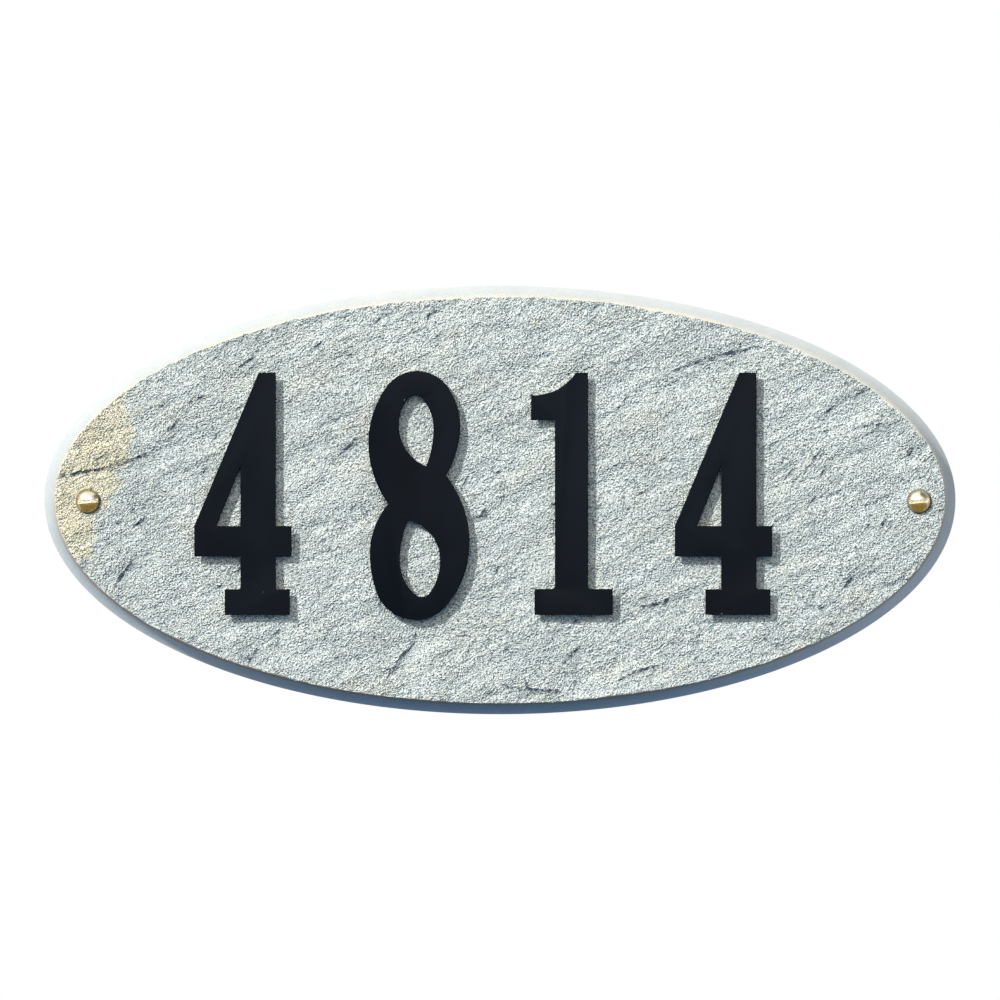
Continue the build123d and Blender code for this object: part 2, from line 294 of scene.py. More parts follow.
def from_photo(column, row):
    """A point of the photograph as x and z on the plaque."""
    return (column - PHOTO_MIDDLE[0]) * PIXEL, (PHOTO_MIDDLE[1] - row) * PIXEL


def select_only(piece):
    """Makes one object the only selected and the active one."""
    bpy.ops.object.select_all(action="DESELECT")
    piece.select_set(True)
    bpy.context.view_layer.objects.active = piece


def broad_relief(x, z):
    """Height of the solid's own ridges over the mean level."""
    wave = np.zeros_like(x)
    for spacing, heading, share, shift, wander in RIDGES:
        turn = radians(heading)
        along = x * cos(turn) + z * sin(turn)
        across = z * cos(turn) - x * sin(turn)
        across = across + wander * np.sin(2 * pi * along / WANDER_SPACING + radians(shift))
        wave += share * np.sin(2 * pi * across / spacing + radians(shift))
    outwards = np.minimum(1, np.hypot(x / HALF_WIDTH, z / HALF_HEIGHT))
    fade = 1 - (1 - RELIEF_AT_EDGE) * outwards ** RELIEF_FADE
    return RELIEF * wave * fade * seat_calm(x, z)


def to_screw(x, z):
    """Distance to the nearer screw's axis."""
    return np.min([np.hypot(x - axis[0], z - axis[1]) for axis in SCREW_AXES], axis=0)


def seat_calm(x, z):
    """Nought at a screw's axis and one away from it."""
    return 1 - np.exp(-((to_screw(x, z) / SEAT_CALM) ** 2))


def noise_field(x, z, pattern, octaves=1):
    """Smooth noise of a pattern, with finer octaves added."""
    size_x, size_z, seed = pattern
    u, v = x / size_x, z / size_z
    total = np.zeros(len(u))
    for octave in range(octaves):
        scale = 2.0 ** octave
        layer = [noise.noise((a * scale, b * scale, seed + octave)) for a, b in zip(u, v)]
        total += np.array(layer) / scale
    return total


def along_grain(x, z):
    """Distances along and across the grain."""
    along = x * cos(GRAIN_HEADING) + z * sin(GRAIN_HEADING)
    across = z * cos(GRAIN_HEADING) - x * sin(GRAIN_HEADING)
    return along, across


def bands(x, z):
    """The broad bands of the grain, high and low about nought."""
    along, across = along_grain(x, z)
    across = across + GRAIN_WANDER * noise_field(x, z, WANDER_PATTERN)
    return noise_field(along, across, BAND_PATTERN, octaves=2)


def terraced(height, steps):
    """Smooth heights broken into flat flakes with steep edges."""
    level = np.floor(height * steps)
    edge = np.clip(2 * (height * steps - level) - 1, 0, 1)
    return (level + edge * edge * (3 - 2 * edge)) / steps


def grain(x, z):
    """Height of the split grain: bands, flaky ridges and crumbs drawn out along one heading."""
    along, across = along_grain(x, z)
    ridges = noise_field(along, across, RIDGE_PATTERN, octaves=2)
    crumbs = noise_field(along, across, CRUMB_PATTERN)
    zones = ZONE_MEAN + ZONE_SWING * noise_field(along, across, ZONE_PATTERN, octaves=2)
    flaky = RIDGE_HEIGHT * terraced(ridges, RIDGE_STEPS)
    return BAND_HEIGHT * bands(x, z) + zones * (flaky + CRUMB_HEIGHT * crumbs)


def near_line(x, z, points):
    """Distance to a line of points, positive to its lower right, and the share of the way along it."""
    lengths = np.hypot(*np.diff(np.array(points), axis=0).T)
    gap = np.full(len(x), CLEFT_FAR)
    share = np.zeros(len(x))
    travelled = 0.0
    for (x0, z0), (x1, z1), length in zip(points, points[1:], lengths):
        along_x, along_z = (x1 - x0) / length, (z1 - z0) / length
        along = np.clip((x - x0) * along_x + (z - z0) * along_z, 0, length)
        below = (x - x0) * along_z - (z - z0) * along_x
        distance = np.hypot(x - x0 - along * along_x, z - z0 - along * along_z)
        nearer = distance < np.abs(gap)
        gap = np.where(nearer, np.copysign(distance, below), gap)
        share = np.where(nearer, (travelled + along) / lengths.sum(), share)
        travelled += length
    return gap, share


def cleft_lines():
    """The photographed clefts and a scatter of short nicks: points, depth and how far each shallows out."""
    lines = [([from_photo(*point) for point in points], depth, CLEFT_REACH) for points, depth in CLEFTS]
    chance = np.random.default_rng(NICK_SEED)
    for _ in range(NICKS):
        centre = np.array((chance.uniform(-1, 1) * HALF_WIDTH, chance.uniform(-1, 1) * HALF_HEIGHT))
        heading = NICK_HEADING + chance.normal(0, NICK_HEADING_SPREAD)
        half = np.array((cos(heading), sin(heading))) * chance.uniform(*NICK_LENGTH) / 2
        band = bands(centre[:1], centre[1:])[0]
        share = np.clip(NICK_BAND_MEAN - NICK_BAND_FALL * band, *NICK_BAND_LIMITS)
        depth = NICK_DEPTH * share * chance.uniform(*NICK_DEPTH_SPREAD)
        lines.append(([centre - half, centre + half], depth, NICK_REACH))
    return lines


def clefts(x, z):
    """How far the clefts lower the stone, the distance to the nearest one and how hard that one bites."""
    ragged = CLEFT_RAGGED * noise_field(x, z, RAGGED_PATTERN)
    drop = np.zeros(len(x))
    gap = np.full(len(x), CLEFT_FAR)
    bite = np.zeros(len(x))
    for points, depth, reach in cleft_lines():
        middle_x, middle_z = np.mean(points, axis=0)
        span = np.hypot(*(np.array(points[0]) - np.array(points[-1])))
        near = np.flatnonzero(np.hypot(x - middle_x, z - middle_z) < span + reach)
        distance, share = near_line(x[near] + ragged[near], z[near] + ragged[near], points)
        taper = np.sqrt(np.sin(pi * np.clip(share, *CLEFT_ENDS)))
        sheer = np.clip(distance / CLEFT_LIP, 0, 1)
        shallow = np.clip(1 - (distance - CLEFT_LIP) / reach, 0, 1) ** 2
        drop[near] = np.maximum(drop[near], depth * taper * sheer * shallow)
        nearer = np.abs(distance) < np.abs(gap[near])
        gap[near[nearer]] = distance[nearer]
        bite[near[nearer]] = taper[nearer] * min(1, depth / CLEFT_FULL)
    return drop, gap, bite


def stain(x, z):
    """Share of the tan stain, from its ragged border to the plaque's left end."""
    border = [from_photo(column, row) for row, column in STAIN_BORDER]
    heights = [point[1] for point in reversed(border)]
    reaches = [point[0] for point in reversed(border)]
    edge = np.interp(z, heights, reaches)
    edge = edge + STAIN_RAGGED * noise_field(x, z, STAIN_PATTERN, octaves=3)
    share = np.clip((edge - x) / STAIN_SOFT + 0.5, 0, 1)
    ends = np.clip((z - heights[0]) / STAIN_SOFT, 0, 1) * np.clip((heights[-1] - z) / STAIN_SOFT, 0, 1)
    return share * ends


def oval(turn, inset):
    """Points at a turn round the oval, set in from its edge."""
    x = HALF_WIDTH * np.cos(turn)
    z = HALF_HEIGHT * np.sin(turn)
    normal_x = HALF_HEIGHT * np.cos(turn)
    normal_z = HALF_WIDTH * np.sin(turn)
    length = np.hypot(normal_x, normal_z)
    return x - inset * normal_x / length, z - inset * normal_z / length


def moulding():
    """Insets and levels of the rings round the edge, from the lip's top down to the back."""
    cove_inner = radians(COVE_SLOPES[-1])
    cove_outer = radians(COVE_SLOPES[0])
    lip_foot = LIP_TOP - LIP_RADIUS * (1 - cos(cove_inner))
    cove_foot = lip_foot - COVE_RADIUS * (cos(cove_outer) - cos(cove_inner))
    lip_inset = EDGE_ARRIS + COVE_RADIUS * (sin(cove_inner) - sin(cove_outer)) + LIP_RADIUS * sin(cove_inner)
    rings = []
    for slope in reversed(LIP_SLOPES):
        turn = radians(slope)
        rings.append((lip_inset - LIP_RADIUS * sin(turn), LIP_TOP - LIP_RADIUS * (1 - cos(turn))))
    for slope in reversed(COVE_SLOPES):
        turn = radians(slope)
        inset = EDGE_ARRIS + COVE_RADIUS * (sin(turn) - sin(cove_outer))
        rings.append((inset, cove_foot + COVE_RADIUS * (cos(cove_outer) - cos(turn))))
    rings += [(0, cove_foot - EDGE_ARRIS), (0, BACK_ARRIS), (BACK_ARRIS, 0)]
    return np.array(rings)


def read_points(mesh, name):
    """One value for each point of a mesh, as written before."""
    values = np.empty(len(mesh.vertices), np.float32)
    mesh.attributes[name].data.foreach_get("value", values)
    return values.astype(float)


def write_points(mesh, name, values):
    """Writes one value for each point of a mesh."""
    attribute = mesh.attributes.get(name) or mesh.attributes.new(name, "FLOAT", "POINT")
    attribute.data.foreach_set("value", np.asarray(values, np.float32))


def drill(slab, axis_x, axis_z):
    """Takes one screw hole out of the slab."""
    bpy.ops.object.select_all(action="DESELECT")
    bpy.ops.mesh.primitive_cylinder_add(
        vertices=HOLE_SIDES,
        radius=HOLE_RADIUS,
        depth=3 * FACE_LEVEL,
        location=(axis_x, -FACE_LEVEL / 2, axis_z),
        rotation=(radians(90), 0, 0),
    )
    cutter = bpy.context.object
    select_only(slab)
    hole = slab.modifiers.new("hole", "BOOLEAN")
    hole.operation = "DIFFERENCE"
    hole.object = cutter
    bpy.ops.object.modifier_apply(modifier=hole.name)
    bpy.data.objects.remove(cutter)


def ringed_disc(ring_count):
    """A grid drawn into a disc, with rings of faces round it and a closed back.

    Each point knows its turn round the middle, its reach from it, and its ring, which is 0 on the disc.
    """
    bpy.ops.object.select_all(action="DESELECT")
    bpy.ops.mesh.primitive_grid_add(x_subdivisions=FACE_CELLS[0], y_subdivisions=FACE_CELLS[1], size=2)
    slab = bpy.context.object
    slab.name = "split_stone_slab"
    mesh = slab.data
    flat = np.empty(len(mesh.vertices) * 3)
    mesh.vertices.foreach_get("co", flat)
    u, v = flat.reshape(-1, 3)[:, :2].T
    disc_x = u * np.sqrt(1 - v ** 2 / 2)
    disc_y = v * np.sqrt(1 - u ** 2 / 2)
    write_points(mesh, "turn", np.arctan2(disc_y, disc_x))
    write_points(mesh, "reach", np.hypot(disc_x, disc_y))
    write_points(mesh, "ring", np.zeros(len(u)))
    bpy.ops.object.mode_set(mode="EDIT")
    bpy.ops.mesh.select_mode(type="VERT")
    bpy.ops.mesh.select_all(action="DESELECT")
    bpy.ops.mesh.select_non_manifold()
    for number in range(1, ring_count + 1):
        bpy.ops.mesh.extrude_region()
        shape = bmesh.from_edit_mesh(mesh)
        layer = shape.verts.layers.float["ring"]
        for vertex in shape.verts:
            if vertex.select:
                vertex[layer] = number
    bpy.ops.mesh.edge_face_add()
    bpy.ops.object.mode_set(mode="OBJECT")
    return slab


def shape_stone(mesh, rings):
    """Moves each point of a ringed disc to its place, and writes what the material needs to know of it."""
    turn = read_points(mesh, "turn")
    reach = read_points(mesh, "reach")
    ring = np.rint(read_points(mesh, "ring")).astype(int)
    on_face = ring == 0
    inset = np.where(on_face, FACE_INSET * reach ** FACE_INSET_POWER, rings[ring - 1, 0])
    edge_x, edge_z = oval(turn, inset)
    x = np.where(on_face, HALF_WIDTH * reach * np.cos(turn) + edge_x - HALF_WIDTH * np.cos(turn), edge_x)
    z = np.where(on_face, HALF_HEIGHT * reach * np.sin(turn) + edge_z - HALF_HEIGHT * np.sin(turn), edge_z)
    drop, gap, bite = clefts(x, z)
    roughness = (grain(x, z) - drop) * seat_calm(x, z) - GRAIN_SINK
    to_lip = np.abs(np.where(on_face, (1 - reach) * HALF_HEIGHT, 0))
    chipped = np.clip(noise_field(x, z, CHIP_PATTERN, octaves=2) - LIP_CHIP_START, 0, 1)
    roughness = roughness - LIP_CHIP * chipped * np.exp(-((to_lip / LIP_CHIP_WIDTH) ** 2))
    split = FACE_LEVEL + broad_relief(x, z) + roughness
    split = np.where(to_screw(x, z) < SEAT_RADIUS, SEAT_LEVEL, split)
    moulded = np.where(on_face, ABOVE_ALL, rings[ring - 1, 1])
    level = np.minimum(split, moulded)
    place = np.stack([x, -level, z], axis=1)
    mesh.vertices.foreach_set("co", place.ravel())
    write_points(mesh, "riven", split < moulded)
    # painted shade: how low the grain lies, for darker colour there
    write_points(mesh, "recess_shade", np.clip(-roughness / (BAND_HEIGHT + RIDGE_HEIGHT), 0, 1))
    write_points(mesh, "stain", stain(x, z))
    write_points(mesh, "cleft_gap", gap)
    write_points(mesh, "cleft_bite", bite)
    lip = np.where(on_face, 0, np.clip(1 - np.abs(inset - LIP_INSET) / LIP_RADIUS, 0, 1))
    write_points(mesh, "lip", lip)
    # painted shade under the lip, stronger towards the bottom of the oval
    write_points(mesh, "lip_shade", lip * np.clip(LIP_SHADE_START - LIP_SHADE_RISE * np.sin(turn), 0, 1))
    mesh.update()


def stone_slab(finish):
    """The oval stone: a split face, the rings of the moulded edge, a sawn back and two screw holes."""
    rings = moulding()
    slab = ringed_disc(len(rings))
    shape_stone(slab.data, rings)
    select_only(slab)
    bpy.ops.object.mode_set(mode="EDIT")
    bpy.ops.mesh.select_all(action="SELECT")
    bpy.ops.mesh.normals_make_consistent(inside=False)
    bpy.ops.object.mode_set(mode="OBJECT")
    bpy.ops.object.shade_smooth_by_angle(angle=STONE_SMOOTH_BELOW)
    for axis_x, axis_z in SCREW_AXES:
        drill(slab, axis_x, axis_z)
    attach(slab, "root")
    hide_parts("stone_slab")
    slab.data.materials.append(finish)


def piece_from_node(node, name):
    """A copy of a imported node's mesh, merged into whole faces."""
    piece = bpy.data.objects.new(name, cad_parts[node].data.copy())
    bpy.context.scene.collection.objects.link(piece)
    select_only(piece)
    piece.data.materials.clear()
    bpy.ops.object.mode_set(mode="EDIT")
    bpy.ops.mesh.select_all(action="SELECT")
    bpy.ops.mesh.remove_doubles(threshold=MERGE)
    bpy.ops.mesh.dissolve_limited(angle_limit=SAME_FACE)
    bpy.ops.object.mode_set(mode="OBJECT")
    return piece


def soften_edges(piece, width):
    """Rounds the sharp edges of a piece by a hair."""
    select_only(piece)
    bevel = piece.modifiers.new("soft_edges", "BEVEL")
    bevel.limit_method = "ANGLE"
    bevel.angle_limit = SHARP_EDGE
    bevel.width = width
    bevel.segments = EDGE_SEGMENTS
    bevel.harden_normals = True
    bpy.ops.object.shade_smooth_by_angle(angle=SMOOTH_BELOW)
    bpy.ops.object.modifier_apply(modifier=bevel.name)


def figure(node, finish):
    """One black figure, cut from sheet, with its edges just taken off."""
    piece = piece_from_node(node, node.replace("digit", "black_figure"))
    soften_edges(piece, FIGURE_EDGE)
    piece.data.materials.append(finish)
    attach(piece, "root")
    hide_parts(node)


def foam_pad(node, finish):
    """The foam tape behind one figure."""
    piece = piece_from_node(node, node.replace("pad", "foam_tape"))
    bpy.ops.object.shade_smooth_by_angle(angle=SMOOTH_BELOW)
    piece.data.materials.append(finish)
    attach(piece, "root")
    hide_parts(node)


def screw_head(axis_x, axis_z):
    """A domed head on a plain shank: the cap of a ball, drawn in to the shank and slotted."""
    dome_rise = HEAD_HEIGHT - HEAD_RIM
    dome_radius = (HEAD_RADIUS ** 2 + dome_rise ** 2) / (2 * dome_rise)
    crown = SEAT_LEVEL + HEAD_HEIGHT
    bpy.ops.object.select_all(action="DESELECT")
    bpy.ops.mesh.primitive_uv_sphere_add(
        segments=HEAD_CELLS[0],
        ring_count=HEAD_CELLS[1],
        radius=dome_radius,
        location=(axis_x, dome_radius - crown, axis_z),
        rotation=(radians(90), 0, 0),
    )
    head = bpy.context.object
    bpy.ops.object.transform_apply(location=True, rotation=True, scale=True)
    bpy.ops.object.mode_set(mode="EDIT")
    bpy.ops.mesh.select_all(action="SELECT")
    rim = -(SEAT_LEVEL + HEAD_RIM)
    bpy.ops.mesh.bisect(
        plane_co=(axis_x, rim, axis_z),
        plane_no=(0, 1, 0),
        clear_outer=True,
        threshold=MERGE,
    )
    bpy.ops.mesh.extrude_region_move(TRANSFORM_OT_translate={"value": (0, HEAD_RIM, 0)})
    bpy.ops.mesh.extrude_region()
    draw_in = SHANK_RADIUS / HEAD_RADIUS
    bpy.ops.transform.resize(value=(draw_in, 1, draw_in), center_override=(axis_x, -SEAT_LEVEL, axis_z))
    bpy.ops.mesh.extrude_region_move(TRANSFORM_OT_translate={"value": (0, SEAT_LEVEL + THREAD_START, 0)})
    bpy.ops.mesh.edge_face_add()
    bpy.ops.object.mode_set(mode="OBJECT")
    bpy.ops.object.select_all(action="DESELECT")
    bpy.ops.mesh.primitive_cube_add(
        size=1,
        location=(axis_x, -crown, axis_z),
        rotation=(0, -SLOT_TURN, 0),
        scale=(4 * HEAD_RADIUS, 2 * SLOT_DEPTH, SLOT_WIDTH),
    )
    cutter = bpy.context.object
    select_only(head)
    slot = head.modifiers.new("slot", "BOOLEAN")
    slot.operation = "DIFFERENCE"
    slot.object = cutter
    bpy.ops.object.modifier_apply(modifier=slot.name)
    bpy.data.objects.remove(cutter)
    soften_edges(head, SLOT_EDGE)
    from_axis = [Vector((v.co.x - axis_x, v.co.z - axis_z)) / HEAD_RADIUS for v in head.data.vertices]
    # shares for the painted shade on the rim: out from the axis, and towards the lower right
    write_points(head.data, "outwards", [offset.length for offset in from_axis])
    write_points(head.data, "lower_right_shade", [(offset.x - offset.y) / sqrt(2) for offset in from_axis])
    return head


def screw_thread(axis_x, axis_z):
    """The cut thread behind the slab: one tooth wound round the axis, trimmed, and drawn out to a point."""
    profile = bpy.data.meshes.new("thread")
    corners = [(radius, share * THREAD_PITCH, 0) for radius, share in THREAD_TOOTH]
    profile.from_pydata(corners, [(i, i + 1) for i in range(len(corners) - 1)], [])
    thread = bpy.data.objects.new("thread", profile)
    bpy.context.scene.collection.objects.link(thread)
    thread.location = (axis_x, THREAD_START - THREAD_LEAD_IN * THREAD_PITCH, axis_z)
    select_only(thread)
    wind = thread.modifiers.new("wind", "SCREW")
    wind.axis = "Y"
    wind.screw_offset = THREAD_PITCH
    wind.iterations = int((SCREW_TIP - THREAD_START) / THREAD_PITCH) + 2 * THREAD_LEAD_IN
    wind.steps = THREAD_STEPS
    wind.render_steps = THREAD_STEPS
    wind.use_merge_vertices = True
    wind.merge_threshold = MERGE
    bpy.ops.object.modifier_apply(modifier=wind.name)
    bpy.ops.object.transform_apply(location=True, rotation=True, scale=True)
    bpy.ops.object.mode_set(mode="EDIT")
    for level, outwards in ((THREAD_START, -1), (SCREW_TIP, 1)):
        bpy.ops.mesh.select_all(action="SELECT")
        bpy.ops.mesh.bisect(
            plane_co=(axis_x, level, axis_z),
            plane_no=(0, outwards, 0),
            clear_outer=True,
            use_fill=True,
            threshold=MERGE,
        )
    bpy.ops.object.mode_set(mode="OBJECT")
    for vertex in thread.data.vertices:
        share = min(1, max(POINT_BLUNT, (SCREW_TIP - vertex.co.y) / POINT_LENGTH))
        vertex.co.x = axis_x + (vertex.co.x - axis_x) * share
        vertex.co.z = axis_z + (vertex.co.z - axis_z) * share
    bpy.ops.object.mode_set(mode="EDIT")
    bpy.ops.mesh.select_all(action="SELECT")
    bpy.ops.mesh.normals_make_consistent(inside=False)
    bpy.ops.object.mode_set(mode="OBJECT")
    bpy.ops.object.shade_smooth_by_angle(angle=SMOOTH_BELOW)
    reach = [Vector((v.co.x - axis_x, v.co.z - axis_z)).length for v in thread.data.vertices]
    # painted shade on the thread, darkest at its roots
    write_points(thread.data, "outwards", np.interp(reach, (THREAD_ROOT, THREAD_RADIUS), THREAD_SHADE))
    return thread


def brass_screws(finish):
    """The pair of slotted round-head screws, as one piece."""
    parts = []
    for axis_x, axis_z in SCREW_AXES:
        parts += [screw_head(axis_x, axis_z), screw_thread(axis_x, axis_z)]
    select_only(parts[0])
    for part in parts:
        part.select_set(True)
    bpy.ops.object.join()
    pair = bpy.context.object
    pair.name = "brass_screw_pair"
    pair.data.materials.clear()
    pair.data.materials.append(finish)
    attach(pair, "root")
    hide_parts("brass_screws")


class Finish:
    """A material under construction: adds nodes, links them and answers their sockets."""

    def __init__(self, name):
        self.material = bpy.data.materials.new(name)
        self.material.use_nodes = True
        self.tree = self.material.node_tree
        self.shader = self.tree.nodes["Principled BSDF"]
        self.object_place = self.node("TexCoord").outputs["Object"]

    def node(self, kind, values=None, **settings):
        """A new node, with its settings and the values of its sockets."""
        node = self.tree.nodes.new("ShaderNode" + kind)
        for name, setting in settings.items():
            setattr(node, name, setting)
        for name, value in (values or {}).items():
            self.set(node.inputs[name], value)
        return node

    def set(self, socket, value):
        """Links a socket to a socket, or gives it a plain value."""
        if isinstance(value, bpy.types.NodeSocket):
            self.tree.links.new(value, socket)
        else:
            socket.default_value = value

    def surface(self, **values):
        """Sets the surface's own sockets, with _ for each space in their names."""
        for name, value in values.items():
            self.set(self.shader.inputs[name.replace("_", " ")], value)

    def mapped(self, place, scale=(1, 1, 1), turn=(0, 0, 0)):
        """A place, scaled and turned."""
        return self.node("Mapping", {"Vector": place, "Scale": scale, "Rotation": turn}).outputs["Vector"]

    def noise(self, place, size, detail=2.0, rough=0.5, twist=0.0):
        """Noise with the given feature size, or with one size for each axis."""
        if not isinstance(size, tuple):
            size = (size, size, size)
        scaled = self.mapped(place, tuple(1 / length for length in size))
        values = {"Vector": scaled, "Scale": 1.0, "Detail": detail, "Roughness": rough, "Distortion": twist}
        return self.node("TexNoise", values).outputs["Fac"]

    def attribute(self, name):
        """A value that was written to the mesh's points."""
        return self.node("Attribute", attribute_name=name).outputs["Fac"]

    def ramp(self, value, low, high, to_low=0.0, to_high=1.0, **settings):
        """A value spread from one range to another, and clamped there."""
        values = {"Value": value, "From Min": low, "From Max": high, "To Min": to_low, "To Max": to_high}
        return self.node("MapRange", values, **settings).outputs["Result"]

    def math(self, operation, first, second=0.0):
        """The result of one sum."""
        node = self.node("Math", operation=operation)
        self.set(node.inputs[0], first)
        self.set(node.inputs[1], second)
        return node.outputs[0]

    def blend(self, share, first, second, blend_type="MIX"):
        """Two colours mixed by a share."""
        node = self.node("Mix", data_type="RGBA", blend_type=blend_type)
        for socket, value in zip((node.inputs[0], node.inputs[6], node.inputs[7]), (share, first, second)):
            if isinstance(value, tuple):
                value = (*value, 1)
            self.set(socket, value)
        return node.outputs[2]

    def bump(self, height, distance, strength=1.0, under=None):
        """A surface tilted by a height, over the tilt of another one if that is given."""
        node = self.node("Bump", {"Height": height, "Distance": distance, "Strength": strength})
        if under is not None:
            self.set(node.inputs["Normal"], under)
        return node.outputs["Normal"]


def flaked(finish, height, steps):
    """A smooth height broken into flat flakes with steep edges."""
    scaled = finish.math("MULTIPLY", height, steps)
    edge = finish.ramp(finish.math("FRACT", scaled), 0.45, 1.0, interpolation_type="SMOOTHSTEP")
    return finish.math("DIVIDE", finish.math("ADD", finish.math("FLOOR", scaled), edge), steps)


def cleft_share(finish):
    """Share of painted shade that the clefts put on the stone, also the depth of their bump: along their
    ragged lines, and wider where they bite harder.
    """
    place = finish.object_place
    ragged = finish.ramp(finish.noise(place, 1.1 * MM), 0.0, 1.0, -1.0 * MM, 1.0 * MM)
    from_cleft = finish.math("ABSOLUTE", finish.math("ADD", finish.attribute("cleft_gap"), ragged))
    broken = finish.ramp(finish.noise(place, 2.4 * MM, detail=2.0), 0.42, 0.58, 0.15, 1.0)
    bite = finish.attribute("cleft_bite")
    past_edge = finish.math("SUBTRACT", from_cleft, finish.math("MULTIPLY", bite, 0.55 * MM))
    share = finish.math("MULTIPLY", finish.ramp(bite, 0.0, 0.5, 0.3, 1.0), broken)
    return finish.math("MULTIPLY", share, finish.ramp(past_edge, -0.1 * MM, 0.35 * MM, 1.0, 0.0))


def riven_colour(finish, along, crumbs, scales, cleft):
    """Colour of the split face: clouds, drifts, crumbs pale partly by painted highlight, the tan stain, and
    painted shade in dark crumbs, pits, low places and clefts.
    """
    clouds = finish.noise(along, (42 * MM, 30 * MM, 13 * MM), detail=3.0, rough=0.55)
    drifts = finish.noise(along, (26 * MM, 20 * MM, 14 * MM), detail=3.0)
    patchy = finish.noise(finish.object_place, 4.0 * MM, detail=3.0, rough=0.6)
    stained = finish.math("ADD", finish.attribute("stain"), finish.ramp(patchy, 0.25, 0.75, -0.5, 0.5))
    colour = finish.blend(finish.ramp(clouds, 0.3, 0.7), *STONE_SHADES)
    for share, layer in (
        (finish.ramp(drifts, 0.54, 0.70, 0.0, 0.45), DRIFT_COLOUR),
        # pale crumbs: partly painted highlight on their raised tops
        (finish.ramp(crumbs, 0.53, 0.62, 0.0, 0.92), PALE_GRAIN_AND_HIGHLIGHT_COLOUR),
        # dark crumbs: partly painted shade in their pits
        (finish.ramp(crumbs, 0.45, 0.35, 0.0, 0.82), DARK_GRAIN_AND_SHADE_COLOUR),
        # pits: painted shade in the scales' low parts
        (finish.ramp(scales, 0.40, 0.26, 0.0, 0.55), PIT_SHADE_COLOUR),
        # painted shade in the low places
        (finish.ramp(finish.attribute("recess_shade"), 0.35, 1.0, 0.0, 0.45), RECESS_SHADE_COLOUR),
    ):
        colour = finish.blend(share, colour, layer)
    colour = finish.blend(finish.ramp(stained, 0.2, 0.9), colour, STAIN_FACTOR, "MULTIPLY")
    # painted shade along the clefts
    return finish.blend(finish.math("MULTIPLY", cleft, 0.95), colour, CLEFT_SHADE_COLOUR)


def riven_height(finish, along, crumbs, scales, cleft):
    """Height of the fine grain: crumbs, flakes and scales, higher in the wild zones, and the clefts."""
    wild = finish.ramp(finish.noise(along, (24 * MM, 20 * MM, 9 * MM), detail=3.0, rough=0.55), 0.36, 0.62)
    chips = finish.noise(along, (3.8 * MM, 3.4 * MM, 2.2 * MM), detail=2.5, rough=0.6, twist=0.8)
    flakes = flaked(finish, chips, FLAKE_STEPS)
    crumb_height = finish.math("MULTIPLY", crumbs, finish.ramp(wild, 0.0, 1.0, 1.6 * MM, 2.2 * MM))
    scale_height = finish.math("MULTIPLY", scales, finish.ramp(wild, 0.0, 1.0, 0.6 * MM, 1.4 * MM))
    flake_height = finish.math("MULTIPLY", flakes, finish.ramp(wild, 0.0, 1.0, 0.7 * MM, 2.3 * MM))
    cleft_height = finish.math("MULTIPLY", cleft, -0.9 * MM)
    grain_height = finish.math("ADD", crumb_height, flake_height)
    return finish.math("ADD", grain_height, finish.math("ADD", scale_height, cleft_height))


def honed_colour(finish, crumbs, back, streaks):
    """Colour of the honed edge, with its tan lip and painted shade on the lip's lower side, and of the sawn
    back.
    """
    mottle = finish.noise(finish.object_place, 9 * MM, detail=4.0, rough=0.6)
    fleck = finish.noise(finish.object_place, 1.3 * MM, detail=2.0)
    colour = finish.blend(finish.ramp(mottle, 0.3, 0.7), *HONED_SHADES)
    lip = finish.math("MULTIPLY", finish.attribute("lip"), finish.ramp(mottle, 0.3, 0.6, 0.4, 0.9))
    speckle = finish.math("MULTIPLY", back, finish.ramp(crumbs, 0.46, 0.34, 0.0, 0.5))
    for share, layer in (
        (finish.ramp(fleck, 0.55, 0.75, 0.0, 0.35), FLECK_COLOUR),
        (lip, LIP_COLOUR),
        # painted shade under the lower lip
        (finish.ramp(finish.attribute("lip_shade"), 0.1, 0.6, 0.0, 0.9), LIP_SHADE_COLOUR),
        (streaks, STREAK_COLOUR),
        (speckle, SPECKLE_COLOUR),
    ):
        colour = finish.blend(share, colour, layer)
    return colour


def split_stone():
    """Pale grey stone: flaky, crumbly and cleft where it is split, smooth where it is honed or sawn."""
    finish = Finish("split_stone")
    place = finish.object_place
    along = finish.mapped(place, turn=(0, GRAIN_HEADING, 0))
    riven = finish.attribute("riven")
    crumbs = finish.noise(place, 0.72 * MM, detail=1.0)
    splinters = finish.noise(along, (1.9 * MM, 1.6 * MM, 1.2 * MM), detail=1.5, rough=0.6, twist=0.7)
    scales = flaked(finish, splinters, SCALE_STEPS)
    cleft = cleft_share(finish)
    depth = finish.node("SeparateXYZ", {"Vector": place}).outputs["Y"]
    back = finish.ramp(depth, -BACK_ARRIS, -0.5 * BACK_ARRIS)
    sawn = finish.noise(place, (70 * MM, 40 * MM, 3.4 * MM), detail=2.0, rough=0.45, twist=0.5)
    streaks = finish.math("MULTIPLY", back, finish.ramp(sawn, 0.35, 0.65, 0.0, 0.45))
    honed = honed_colour(finish, crumbs, back, streaks)
    body = riven_colour(finish, along, crumbs, scales, cleft)
    rough_bump = finish.bump(riven_height(finish, along, crumbs, scales, cleft), 1.0, strength=riven)
    saw_marks = finish.bump(streaks, 0.3 * MM, under=rough_bump)
    honed_marks = finish.noise(place, 0.7 * MM, detail=2.0)
    finish.surface(
        Base_Color=finish.blend(riven, honed, body),
        Roughness=finish.ramp(riven, 0.0, 1.0, 0.65, 0.9),
        Specular_IOR_Level=0.08,
        Normal=finish.bump(honed_marks, 0.02 * MM, under=saw_marks),
    )
    return finish.material


